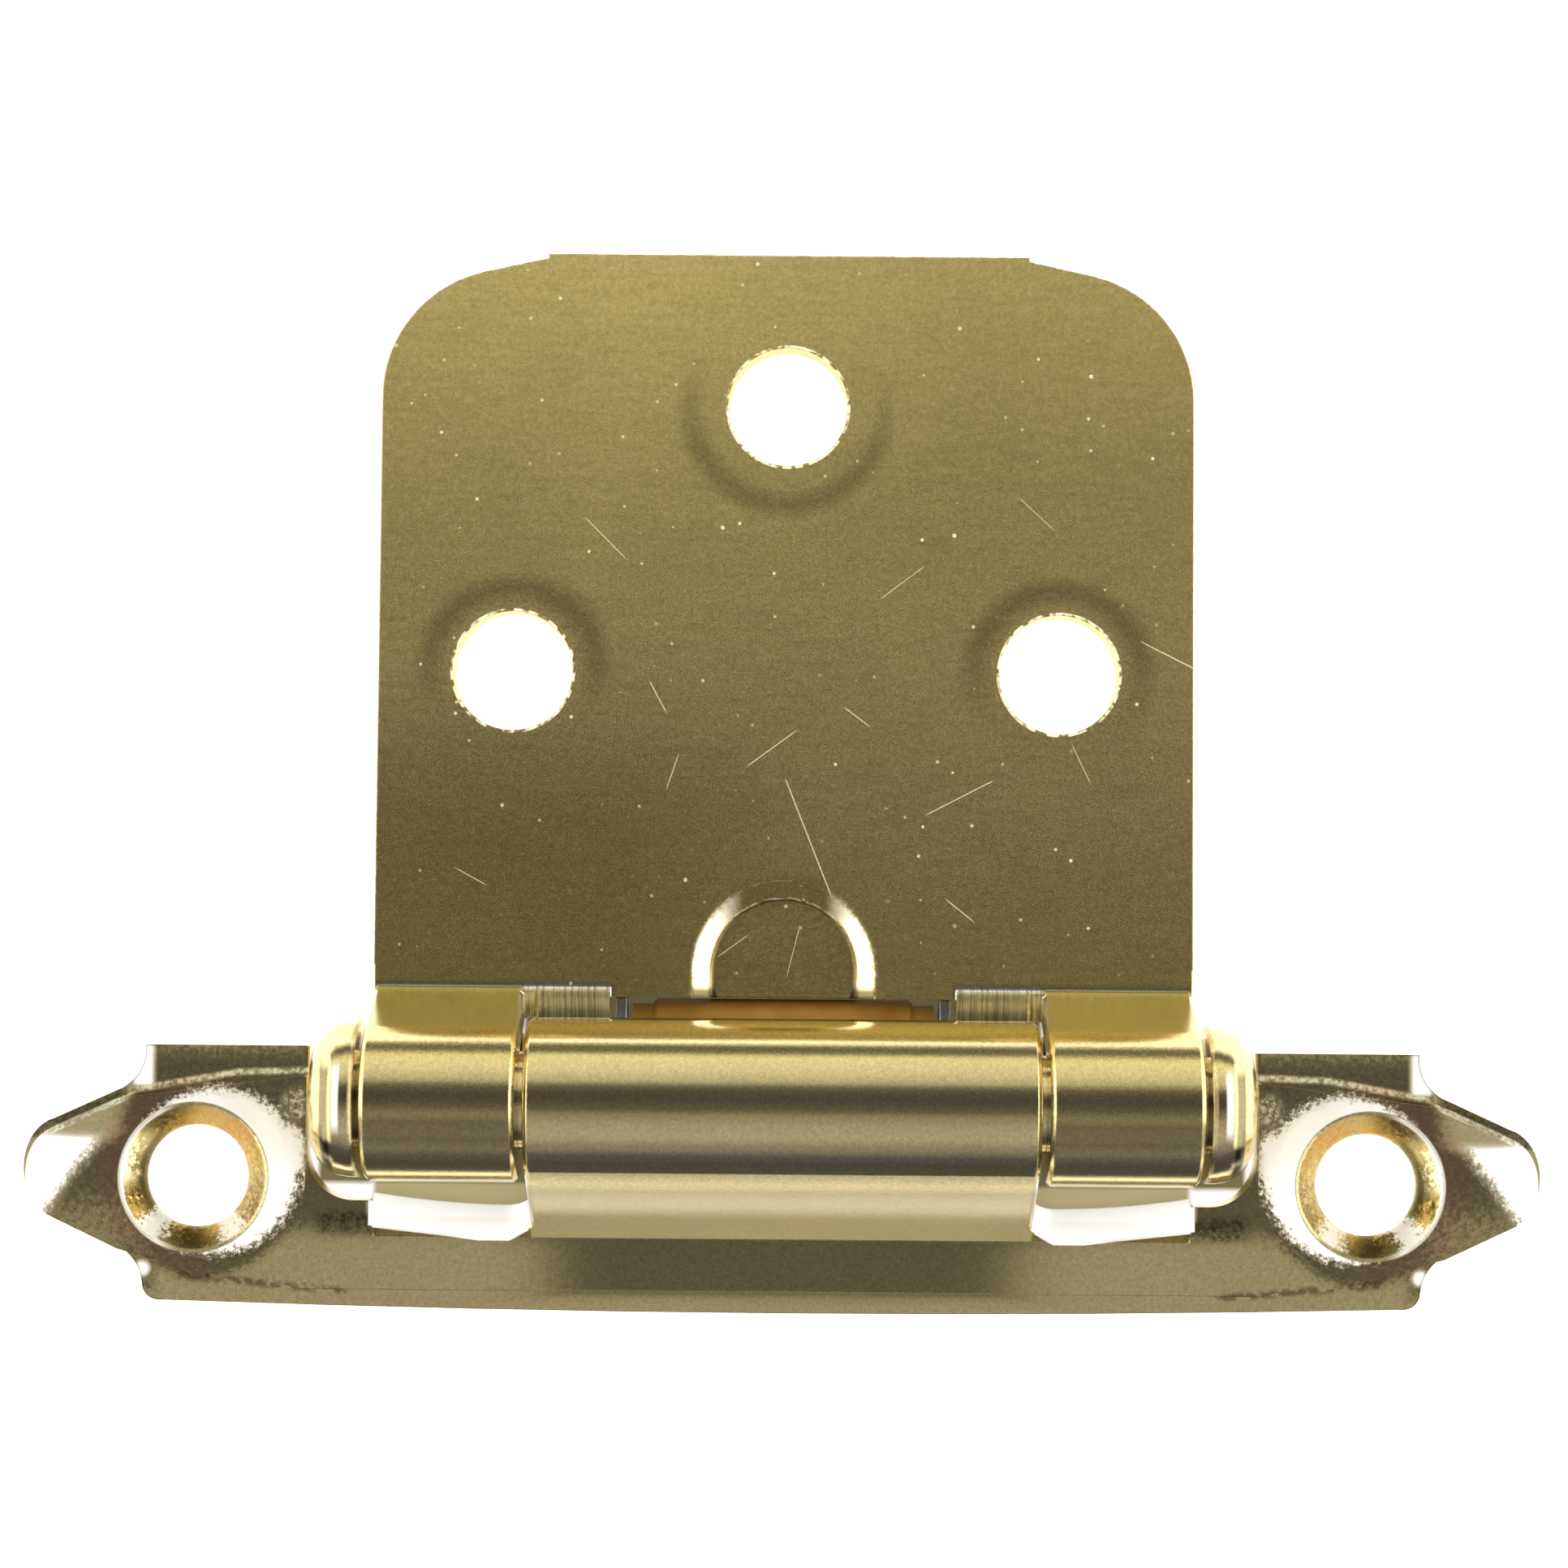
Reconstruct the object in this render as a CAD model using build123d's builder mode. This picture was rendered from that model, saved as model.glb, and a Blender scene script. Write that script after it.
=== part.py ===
from build123d import *
import os
from math import cos, radians, sin, tan

# Flush cabinet hinge: a stamped frame leaf with spear-shaped ends, a flat door leaf,
# a headed pin, and a spring clip that holds a nylon roller against the centre knuckle.
# Millimetres. X runs along the pin, +Y towards the door leaf, +Z towards the viewer.
# The origin lies midway between the two frame screw holes, in the throat of their countersinks.

# Heights above the back of the frame leaf
THROAT_RISE = 2.05
AXIS_RISE = 5.1
STRIP_RISE = 1.5
PANEL_RISE = 2.0
FINIAL_RISE = 3.4
TIP_EDGE_RISE = 0.8
DOOR_RISE = 2.0

# Sheet and barrel
SHEET = 1.5
AXIS_Y = 3.75
BARREL_R = 3.75
BORE_R = BARREL_R - SHEET
CENTRE_KNUCKLE = 23.1
OUTER_KNUCKLE = 6.9
KNUCKLE_GAP = 0.36
ROLL_SWEEP = 297
KNUCKLE_BREAK = 0.2

# Pin
PIN_CLEARANCE = 0.05
HEAD_R = 3.55
HEAD_RIM = 0.45
HEAD_LENGTH = 2.2
HEAD_END_R = 1.7
DOME_STEPS = 5
HEAD_GAP = 0.3

# Frame leaf
HOLE_PAST_WINDOW = 4.99
TIP_PAST_HOLE = 8.4
FLANGE_PAST_HOLE = 2.65
FRAME_HOLE_R = 2.35
FRAME_SINK_R = 3.37
FLANGE_TOP = 6.0
FLANGE_BOTTOM = -6.2
FLANGE_BOW = 0.4
FINIAL_Y = 0.3
TIP_R = 2.4
TIP_SLOPE = 24.5
MOUND_R = 4.9
MOUND_FOOT = 0.6
MOUND_FOOT_RISE = 0.8
MOUND_FLANK = 1.4
NOTCH_STEP = 1.0
NOTCH_BULGE = 0.3
CORNER_R = 0.8
RIDGE_END = 4.65
RIDGE_START = 4.0
RIDGE_INSET = 0.45
CREASE_END = -5.2
SKIRT = 1.0
CAVITY_INSET = 1.2
TIP_FALL = 50
NECK_ANGLE = 147
NECK_FOOT = 1.0
WINDOW_GAP = 0.7
WINDOW_CORNER_R = 2.2
WINDOW_LOW = -1.1
SHOULDER_HALF = 18.85
SHOULDER_END_RISE = 1.45
SHOULDER_LOW_RISE = 0.35
SHOULDER_CORNER_R = 1.2
SHEAR_SAG = 0.3

# Door leaf
DOOR_WIDTH = 37.7
DOOR_REACH = 39.15
DOOR_TOP_FLAT = 22.4
DOOR_TOP_SLOPE = 12.5
DOOR_CORNER_R = 6.0
DOOR_NICK = 0.2
DOOR_TANGENT = 28
DOOR_STUB = 1.0
DOOR_HOLE_R = 2.75
DOOR_HOLE_SPACING = 25.2
DOOR_HOLE_REACH = 19.65
TOP_HOLE_REACH = 32.0
BOSS_BASE_R = 4.5
BOSS_TOP_R = 3.15
BOSS_RISE = 0.3
ROLLER_NOTCH = 15.9
NOTCH_REACH = 4.65
TAB_RISE = 0.3
POCKET_R = 3.4
POCKET_REACH = 5.87
POCKET_DEPTH = 0.8
POCKET_ROLL = 0.8
POCKET_ROLL_FALL = 0.5

# Roller, axle and spring clip
ROLLER_R = 1.25
ROLLER_LENGTH = 12.0
ROLLER_BREAK = 0.15
JOURNAL_R = 1.0
JOURNAL_LENGTH = 1.0
ROLLER_RUN = 0.05
ROLLER_ANGLE = -48.75
CAM_FLAT = 0.2
AXLE_R = 0.4
AXLE_CLEARANCE = 0.05
AXLE_LENGTH = 15.6
SPRING_SHEET = 0.5
SPRING_WIDTH = 15.5
SPRING_LENGTH = 8.6
SPRING_EYE_R = 1.0
SPRING_FIT = 0.05
SPRING_CORNER_R = 1.5

# Values worked out from the sizes above
back_z = -THROAT_RISE
axis_z = back_z + AXIS_RISE
panel_z = back_z + PANEL_RISE
panel_back_z = panel_z - SHEET
finial_z = back_z + FINIAL_RISE
mound_foot_z = panel_z + MOUND_FOOT_RISE
tip_edge_z = back_z + TIP_EDGE_RISE
door_back_z = back_z + DOOR_RISE
pin_r = BORE_R - PIN_CLEARANCE
centre_half = CENTRE_KNUCKLE / 2
outer_start = centre_half + KNUCKLE_GAP
outer_end = outer_start + OUTER_KNUCKLE
head_start = outer_end + HEAD_GAP
head_end = head_start + HEAD_LENGTH
window_half = head_end + WINDOW_GAP
hole_x = window_half + HOLE_PAST_WINDOW
tip_x = hole_x + TIP_PAST_HOLE
flange_half = hole_x + FLANGE_PAST_HOLE
door_half = DOOR_WIDTH / 2
door_front_z = door_back_z + SHEET
door_top = AXIS_Y + DOOR_REACH
notch_y = AXIS_Y + NOTCH_REACH
pocket_y = AXIS_Y + POCKET_REACH
roller_path = BARREL_R + ROLLER_R + ROLLER_RUN
ear_inner = SPRING_WIDTH / 2 - SPRING_SHEET
axis_point = (AXIS_Y, axis_z)
pin_plane = Plane(origin=(0, AXIS_Y, axis_z), x_dir=(1, 0, 0), z_dir=(0, -1, 0))


def on_barrel(radius, angle):
    """Point of the YZ section at this radius and angle about the pin axis."""
    return (AXIS_Y + radius * cos(radians(angle)), axis_z + radius * sin(radians(angle)))


def crease(radius, angle, level):
    """Point where the sheet leaving the roll at this angle reaches the height level."""
    start_y, start_z = on_barrel(radius, angle)
    travel = (start_z - level) / cos(radians(angle))
    return (start_y + travel * sin(radians(angle)), level)


def rolled_section(start_x, angle, turn, far_y, back_z):
    """Section of one leaf at start_x: flat sheet, riser tangent to the barrel, and the roll."""
    front_z = back_z + SHEET
    with BuildSketch(Plane.YZ.offset(start_x)) as section:
        with BuildLine():
            Polyline((far_y, back_z), (far_y, front_z), crease(BARREL_R, angle, front_z),
                     on_barrel(BARREL_R, angle))
            CenterArc(axis_point, BARREL_R, angle, turn)
            Line(on_barrel(BARREL_R, angle + turn), on_barrel(BORE_R, angle + turn))
            CenterArc(axis_point, BORE_R, angle + turn, -turn)
            Polyline(on_barrel(BORE_R, angle), crease(BORE_R, angle, back_z), (far_y, back_z))
        make_face()
    return section.sketch


def slot_outline(radius, level=0):
    """Half disc about the pocket's centre with straight sides that run down to the notch."""
    with BuildSketch(Plane.XY.offset(level)) as outline:
        with BuildLine():
            Polyline((radius, pocket_y), (radius, notch_y), (-radius, notch_y), (-radius, pocket_y))
            ThreePointArc((-radius, pocket_y), (0, pocket_y + radius), (radius, pocket_y))
        make_face()
    return outline.sketch


roller_centre = on_barrel(roller_path, ROLLER_ANGLE)
neck_front = crease(BARREL_R, NECK_ANGLE, panel_z)
door_front = crease(BARREL_R, DOOR_TANGENT, door_front_z)
door_back = crease(BORE_R, DOOR_TANGENT, door_back_z)
door_stub_y = door_front[0] + DOOR_STUB
notch_half = ROLLER_NOTCH / 2
knuckle_edge = (lambda edge: edge.geom_type == GeomType.CIRCLE and abs(edge.radius - BARREL_R) < 0.001)

# Points of the spear-shaped end, on the +X side
corner_x = flange_half - CORNER_R
flange_end_y = FLANGE_BOTTOM + FLANGE_BOW
tip_centre_x = tip_x - TIP_R
tip_tangent_x = tip_centre_x + TIP_R * sin(radians(TIP_SLOPE))
tip_tangent_rise = TIP_R * cos(radians(TIP_SLOPE))
spear_x = flange_half + NOTCH_STEP
spear_rise = tip_tangent_rise + (tip_tangent_x - spear_x) * tan(radians(TIP_SLOPE))
spear_top = FINIAL_Y + spear_rise
spear_bottom = FINIAL_Y - spear_rise
notch_out = NOTCH_STEP * NOTCH_BULGE
notch_up = NOTCH_STEP - notch_out


def spear_end(inset=0):
    """The rounded tip between its two sloping sides, from bottom to top, drawn in at its upper end."""
    Line((spear_x, spear_bottom), (tip_tangent_x, FINIAL_Y - tip_tangent_rise))
    ThreePointArc((tip_tangent_x, FINIAL_Y - tip_tangent_rise), (tip_x, FINIAL_Y),
                  (tip_tangent_x, FINIAL_Y + tip_tangent_rise))
    Line((tip_tangent_x, FINIAL_Y + tip_tangent_rise), (spear_x, spear_top - inset))


def window_edge(top_y):
    """Edge of the pin head's window, from the top down to the foot of the neck."""
    corner_y = WINDOW_LOW + WINDOW_CORNER_R
    Line((window_half, top_y), (window_half, corner_y))
    CenterArc((window_half - WINDOW_CORNER_R, corner_y), WINDOW_CORNER_R, 0, -90)
    Polyline((window_half - WINDOW_CORNER_R, WINDOW_LOW), (SHOULDER_HALF, WINDOW_LOW),
             (SHOULDER_HALF, neck_front[0]), (0, neck_front[0]))


with BuildSketch(Plane.XY.offset(back_z)) as flange_outline:
    with BuildLine():
        Line((0, neck_front[0]), (0, FLANGE_BOTTOM))
        ThreePointArc((0, FLANGE_BOTTOM), (corner_x / 2, FLANGE_BOTTOM + FLANGE_BOW / 4),
                      (corner_x, flange_end_y))
        CenterArc((corner_x, flange_end_y + CORNER_R), CORNER_R, -90, 90)
        ThreePointArc((flange_half, flange_end_y + CORNER_R),
                      (flange_half + notch_out, spear_bottom - notch_up),
                      (spear_x, spear_bottom))
        spear_end()
        ThreePointArc((spear_x, spear_top),
                      (flange_half + notch_out, spear_top + notch_up),
                      (flange_half, FLANGE_TOP))
        Line((flange_half, FLANGE_TOP), (window_half, FLANGE_TOP))
        window_edge(FLANGE_TOP)
    make_face()

with BuildSketch(Plane.XY.offset(back_z)) as panel_outline:
    with BuildLine():
        Polyline((0, neck_front[0]), (0, CREASE_END), (window_half, CREASE_END),
                 (spear_x, spear_bottom))
        spear_end(RIDGE_INSET)
        Line((spear_x, spear_top - RIDGE_INSET), (window_half, RIDGE_END))
        window_edge(RIDGE_END)
    make_face()


def teardrop(inset, level):
    """Outline of the mound about a frame screw hole at this height, drawn in by inset."""
    with BuildSketch(Plane.XY.offset(level)) as outline:
        with Locations((hole_x, 0)):
            Circle(MOUND_R - inset)
        with Locations((tip_centre_x, FINIAL_Y)):
            Circle(TIP_R - inset)
        make_hull()
    return outline.sketch


# Hollow of the stamping's back, up to the back of the raised panel
with BuildSketch(Plane.XY.offset(back_z)) as hollow_outline:
    with Locations((0, CREASE_END + SKIRT)):
        Rectangle(hole_x, RIDGE_START - CREASE_END - 2 * SKIRT, align=Align.MIN)
    add(teardrop(SKIRT, 0))

# Wedge that lets the spear's tip fall away to its edge
fall = tan(radians(TIP_FALL))
wedge_top = finial_z + SHEET
with BuildSketch(Plane.XZ) as tip_wedge:
    with BuildLine():
        Polyline((tip_x, tip_edge_z), (tip_x + SHEET, tip_edge_z), (tip_x + SHEET, wedge_top),
                 (tip_x - (wedge_top - tip_edge_z) * fall, wedge_top), close=True)
    make_face()

# Outer face of the neck: X along the pin, Y up the neck, Z out of its face
neck_plane = Plane(origin=(0, *neck_front), x_dir=(1, 0, 0),
                   z_dir=(0, cos(radians(NECK_ANGLE)), sin(radians(NECK_ANGLE))))
shear_reach = 4 * BARREL_R

# Sheared U beside the centre knuckle, drawn on the neck's face
with BuildSketch(neck_plane) as shoulder_shear:
    low_x = centre_half + SHOULDER_CORNER_R
    shear_end_x = SHOULDER_HALF + NECK_FOOT
    with BuildLine():
        Polyline((shear_end_x, SHOULDER_END_RISE), (shear_end_x, shear_reach),
                 (centre_half, shear_reach), (centre_half, SHOULDER_LOW_RISE + SHOULDER_CORNER_R))
        CenterArc((low_x, SHOULDER_LOW_RISE + SHOULDER_CORNER_R), SHOULDER_CORNER_R, 180, 90)
        ThreePointArc((low_x, SHOULDER_LOW_RISE),
                      ((low_x + SHOULDER_HALF) / 2, SHOULDER_LOW_RISE + SHEAR_SAG),
                      (SHOULDER_HALF, SHOULDER_END_RISE))
        Line((SHOULDER_HALF, SHOULDER_END_RISE), (shear_end_x, SHOULDER_END_RISE))
    make_face()

# Bulge about the screw hole, cut off along the ridge
with BuildPart() as mound:
    loft([teardrop(0, panel_z), teardrop(MOUND_FOOT, mound_foot_z)], ruled=True)
    loft([teardrop(MOUND_FOOT, mound_foot_z), teardrop(MOUND_FLANK, finial_z)], ruled=True)
    extrude(panel_outline.sketch, amount=2 * FINIAL_RISE, mode=Mode.INTERSECT)

with BuildPart() as frame_leaf:
    extrude(flange_outline.sketch, amount=STRIP_RISE)
    extrude(panel_outline.sketch, amount=PANEL_RISE)
    add(mound.part)
    extrude(hollow_outline.sketch, amount=PANEL_RISE - SHEET, mode=Mode.SUBTRACT)
    loft([teardrop(CAVITY_INSET, panel_back_z), teardrop(CAVITY_INSET / 2 + MOUND_FLANK, finial_z - SHEET)],
         ruled=True, mode=Mode.SUBTRACT)
    extrude(tip_wedge.sketch, amount=tip_x, both=True, mode=Mode.SUBTRACT)
    extrude(rolled_section(0, NECK_ANGLE, -ROLL_SWEEP, neck_front[0] - NECK_FOOT, panel_back_z),
            amount=SHOULDER_HALF)
    extrude(shoulder_shear.sketch, amount=shear_reach, both=True, mode=Mode.SUBTRACT)
    with Locations((hole_x, 0, finial_z)):
        CounterSinkHole(radius=FRAME_HOLE_R, counter_sink_radius=FRAME_SINK_R)
    chamfer(frame_leaf.edges().filter_by(knuckle_edge).group_by(Axis.X)[-1], KNUCKLE_BREAK)
    mirror(about=Plane.YZ)
    # Flat on the centre knuckle that the roller drops onto when the hinge is shut
    with BuildSketch(Plane.YZ):
        with Locations(Location((AXIS_Y, axis_z, 0), (0, 0, ROLLER_ANGLE))):
            with Locations((BARREL_R - CAM_FLAT, 0)):
                Rectangle(CAM_FLAT + ROLLER_RUN, BARREL_R, align=(Align.MIN, Align.CENTER))
    extrude(amount=centre_half, both=True, mode=Mode.SUBTRACT)
frame_leaf.part.label = "frame_leaf"

# Short riser of the door leaf beside the roller, sheared square to the sheet
riser = (-sin(radians(DOOR_TANGENT)), cos(radians(DOOR_TANGENT)))
inward = (-cos(radians(DOOR_TANGENT)), -sin(radians(DOOR_TANGENT)))
tab_outer = (door_front[0] + TAB_RISE * riser[0], door_front[1] + TAB_RISE * riser[1])
tab_inner = (tab_outer[0] + SHEET * inward[0], tab_outer[1] + SHEET * inward[1])
corner_fall = (door_half - DOOR_TOP_FLAT / 2) * tan(radians(DOOR_TOP_SLOPE))
door_holes = [(DOOR_HOLE_SPACING / 2, AXIS_Y + DOOR_HOLE_REACH),
              (-DOOR_HOLE_SPACING / 2, AXIS_Y + DOOR_HOLE_REACH),
              (0, AXIS_Y + TOP_HOLE_REACH)]

with BuildPart() as door_leaf:
    with BuildSketch(Plane.XY.offset(door_back_z)):
        with BuildLine():
            Polyline((0, notch_y), (notch_half, notch_y), (notch_half, door_stub_y),
                     (door_half, door_stub_y), (door_half, door_top - DOOR_NICK - corner_fall),
                     (DOOR_TOP_FLAT / 2, door_top - DOOR_NICK), (DOOR_TOP_FLAT / 2, door_top),
                     (0, door_top), close=True)
        make_face()
        fillet(vertices().group_by(Axis.X)[-1].sort_by(Axis.Y)[-1], DOOR_CORNER_R)
    extrude(amount=SHEET)
    with BuildSketch(Plane.YZ.offset(notch_half)):
        with BuildLine():
            Polyline((door_stub_y, door_back_z), (door_stub_y, door_front_z), door_front,
                     tab_outer, tab_inner, door_back, close=True)
        make_face()
    extrude(amount=outer_start - notch_half)
    extrude(rolled_section(outer_start, DOOR_TANGENT, ROLL_SWEEP, door_stub_y, door_back_z),
            amount=OUTER_KNUCKLE)
    # The plate is a little narrower than the knuckles
    with BuildSketch(Plane.XY.offset(door_back_z)):
        with Locations((door_half, door_front[0])):
            Rectangle(outer_end - door_half, DOOR_STUB, align=Align.MIN)
    extrude(amount=SHEET, mode=Mode.SUBTRACT)
    chamfer(door_leaf.edges().filter_by(knuckle_edge), KNUCKLE_BREAK)
    mirror(about=Plane.YZ)
    # Raised rings about the screw holes, dished from behind
    with Locations(*[(x, y, door_front_z) for x, y in door_holes]):
        Cone(BOSS_BASE_R, BOSS_TOP_R, BOSS_RISE, align=(Align.CENTER, Align.CENTER, Align.MIN))
    with Locations(*[(x, y, door_back_z) for x, y in door_holes]):
        Cone(BOSS_BASE_R, BOSS_TOP_R, BOSS_RISE, align=(Align.CENTER, Align.CENTER, Align.MIN),
             mode=Mode.SUBTRACT)
    with Locations(*[(x, y, door_front_z + BOSS_RISE) for x, y in door_holes]):
        Hole(DOOR_HOLE_R)
    # Half-sheared pocket whose back boss the spring clip is staked on
    with BuildSketch(Plane.XY.offset(door_back_z - POCKET_DEPTH)):
        add(slot_outline(POCKET_R))
    extrude(amount=POCKET_DEPTH)
    with BuildSketch(Plane.XY.offset(door_front_z)):
        add(slot_outline(POCKET_R))
    extrude(amount=-POCKET_DEPTH, mode=Mode.SUBTRACT)
    # The plate's edge rolls over into the pocket
    loft([slot_outline(POCKET_R, door_front_z - POCKET_ROLL_FALL),
          slot_outline(POCKET_R + POCKET_ROLL, door_front_z)], ruled=True, mode=Mode.SUBTRACT)
door_leaf.part.label = "door_leaf"

rim_x = head_start + HEAD_RIM
dome_length = head_end - rim_x
dome_rise = HEAD_R - HEAD_END_R
dome_turns = [radians(90 * step / DOME_STEPS) for step in range(DOME_STEPS + 1)]
dome = [(rim_x + dome_length * sin(turn), HEAD_END_R + dome_rise * cos(turn)) for turn in dome_turns]

with BuildPart() as hinge_pin:
    with BuildSketch(pin_plane):
        with BuildLine():
            Polyline((0, 0), (0, pin_r), (head_start, pin_r), (head_start, HEAD_R), *dome,
                     (head_end, 0), (0, 0))
        make_face()
        mirror(about=Plane.YZ)
    revolve(axis=Axis((0, AXIS_Y, axis_z), (1, 0, 0)))
hinge_pin.part.label = "hinge_pin"

roller_plane = Plane(origin=(0, *roller_centre), x_dir=(0, 1, 0), z_dir=(1, 0, 0))

with BuildPart() as nylon_roller:
    with BuildSketch(roller_plane):
        Circle(ROLLER_R)
    extrude(amount=ROLLER_LENGTH / 2, both=True)
    chamfer(nylon_roller.edges(), ROLLER_BREAK)
    with BuildSketch(roller_plane):
        Circle(JOURNAL_R)
    extrude(amount=ROLLER_LENGTH / 2 + JOURNAL_LENGTH, both=True)
    with BuildSketch(roller_plane):
        Circle(AXLE_R + AXLE_CLEARANCE)
    extrude(amount=ROLLER_LENGTH, both=True, mode=Mode.SUBTRACT)
nylon_roller.part.label = "nylon_roller"

with BuildPart() as roller_axle:
    with BuildSketch(roller_plane):
        Circle(AXLE_R)
    extrude(amount=AXLE_LENGTH / 2, both=True)
roller_axle.part.label = "roller_axle"

spring_back_z = door_back_z - SPRING_SHEET
spring_front_y = notch_y + SPRING_SHEET
spring_half = SPRING_WIDTH / 2

with BuildPart() as closing_spring:
    with BuildSketch(Plane.XY.offset(spring_back_z)):
        with Locations((0, spring_front_y)):
            Rectangle(SPRING_WIDTH, SPRING_LENGTH, align=(Align.CENTER, Align.MIN))
        fillet(vertices().group_by(Axis.Y)[-1], SPRING_CORNER_R)
        add(slot_outline(POCKET_R + SPRING_FIT), mode=Mode.SUBTRACT)
    extrude(amount=SPRING_SHEET)
    # Ears at both sides whose eyes carry the axle
    for ear_x in (-spring_half, ear_inner):
        with BuildSketch(Plane.YZ.offset(ear_x)):
            with Locations(roller_centre):
                Circle(SPRING_EYE_R)
            with Locations((spring_front_y, door_back_z)):
                Rectangle(2 * SPRING_EYE_R, SPRING_EYE_R, align=(Align.MIN, Align.MAX))
            make_hull()
            with Locations((notch_y - SPRING_FIT, door_back_z)):
                Rectangle(SPRING_LENGTH, SPRING_EYE_R, align=Align.MIN, mode=Mode.SUBTRACT)
            with Locations(roller_centre):
                Circle(AXLE_R, mode=Mode.SUBTRACT)
        extrude(amount=SPRING_SHEET)
closing_spring.part.label = "closing_spring"

os.makedirs("parts", exist_ok=True)
export_step(frame_leaf.part, "parts/frame_leaf.step")
export_step(door_leaf.part, "parts/door_leaf.step")
export_step(hinge_pin.part, "parts/hinge_pin.step")
export_step(nylon_roller.part, "parts/nylon_roller.step")
export_step(roller_axle.part, "parts/roller_axle.step")
export_step(closing_spring.part, "parts/closing_spring.step")
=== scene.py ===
from math import atan, cos, hypot, radians, sin

import bpy
from mathutils import Matrix, Vector


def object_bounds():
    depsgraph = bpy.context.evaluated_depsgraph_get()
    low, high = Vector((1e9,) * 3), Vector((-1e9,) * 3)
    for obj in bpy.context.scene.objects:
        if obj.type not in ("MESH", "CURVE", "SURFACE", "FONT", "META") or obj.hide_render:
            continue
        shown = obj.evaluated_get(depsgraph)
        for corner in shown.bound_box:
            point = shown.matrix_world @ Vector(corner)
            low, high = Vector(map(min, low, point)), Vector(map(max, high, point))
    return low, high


# A flush cabinet hinge seen from straight above, lying on a white sheet.
# Metres, in the frame of the solids: X along the pin, +Y to the door leaf, +Z to the viewer.
# The places and widths in the materials are in millimetres, apart from the radii of softened edges.

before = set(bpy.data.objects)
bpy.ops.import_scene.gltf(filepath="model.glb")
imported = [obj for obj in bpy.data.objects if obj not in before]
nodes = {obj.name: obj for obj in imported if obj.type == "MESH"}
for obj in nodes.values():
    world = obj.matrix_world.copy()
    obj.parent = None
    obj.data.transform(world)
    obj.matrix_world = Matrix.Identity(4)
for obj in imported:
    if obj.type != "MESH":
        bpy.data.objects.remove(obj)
cad_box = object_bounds()

MM = 0.001

# Camera
VIEW_DISTANCE = 150 * MM
VIEW_WIDTH = 74.07 * MM
VIEW_TILT = 3.0
VIEW_ROLL = 0.48
VIEW_CENTRE_X = -0.05 * MM
VIEW_CENTRE_Y = 18.46 * MM

# Floor, with painted shade in the gaps beneath the barrel, as boxes: half width, low Y, high Y.
# A paler painted shade lies in them as a wedge beneath each outer knuckle.
FLOOR_HALF = 0.6
FLOOR_COLOUR = (0.9, 0.9, 0.9, 1)
# FLOOR_FAR is seen only in metal's reflections: a painted dark reflection in front of the hinge.
FLOOR_FAR = (0.06, 0.06, 0.075, 1)
FLOOR_GLOW = 0.7
FLOOR_MIRROR_GLOW = 0.7
FLOOR_DIM = (-10.0, -13.5)
SHADE_BOXES = [(19.0, -1.6, 4.0), (21.6, -0.3, 4.0), (12.0, 6.0, 9.5)]
GAP_EDGE = 0.3
GAP_SHADE = (0.16, 0.14, 0.075, 1)
GAP_GLOW = 0.75
WEDGE_OUT = (12.0, 19.2)
WEDGE_Y = (-1.7, -0.5)
WEDGE_SHADE = (0.42, 0.37, 0.20, 1)

# Studio: brightness by the angle from overhead towards +Y, in degrees, and its blue share
STUDIO_BANDS = [
    (-180, 0.75, 1.0), (-150, 0.62, 1.0), (-126, 0.24, 1.2), (-104, 0.09, 1.6), (-82, 0.11, 1.5),
    (-66, 0.30, 1.2), (-48, 0.50, 1.15), (-34, 0.46, 1.1), (-20, 0.36, 1.0), (-8, 0.12, 1.0),
    (6, 0.08, 1.4), (14, 0.09, 1.2), (22, 0.14, 1.0), (31, 0.66, 0.95), (48, 0.92, 0.95),
    (66, 1.08, 0.8), (75, 0.16, 0.9), (84, 0.14, 0.9), (93, 1.2, 1.1), (118, 0.95, 1.0), (150, 0.7, 1.0),
]
SIDE_GLOW = 3.9
SIDE_FROM = 0.62
SIDE_TO = 0.80
FILL_LIGHT = 2.1
FILL_SIZE = 0.5
FILL_HEIGHT = 0.6

# Colours
BRASS = (0.83, 0.675, 0.325, 1)
PLATE = (0.95, 0.745, 0.27, 1)
# Painted highlight: white on the sheared faces and the tabs.
SHEARED_HIGHLIGHT = (1.0, 1.0, 0.98, 1)
SHEARED_DARK = (0.2, 0.17, 0.1, 1)
# Painted shade: duller brass on the sloped risers.
RISER_SHADE = (0.66, 0.60, 0.34, 1)
# Painted shade and painted dark reflection: edge lines, the roll's end and the countersink.
PAINTED_DARK = (0.16, 0.13, 0.06, 1)
SHADE = (0.04, 0.032, 0.02, 1)
BLACK = (0, 0, 0, 1)
# Painted highlight, pale gold, for the ridges, the tip's fringe and a spot beside the barrel.
GOLD_HIGHLIGHT = (1.0, 0.92, 0.62, 1)
FLECK = (1.0, 0.93, 0.6, 1)
STREAK = (0.2, 0.16, 0.08, 1)
# Scratches and pits, and the painted highlight along the hole rims and the plate's edge.
MARK_AND_HIGHLIGHT = (1.0, 0.95, 0.75, 1)
# Painted warm sheen round the frame's screw holes.
WARM_SHEEN = (0.9, 0.55, 0.32, 1)
# Painted shade in the crease along the frame's lower edge.
CREASE_SHADE = (0.2, 0.1, 0.06, 1)
# Painted shade and light on the centre knuckle's neck, darkest under the knuckle.
NECK_SHADE = (0.17, 0.135, 0.055, 1)
NECK_LIT = (0.38, 0.33, 0.17, 1)
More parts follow.
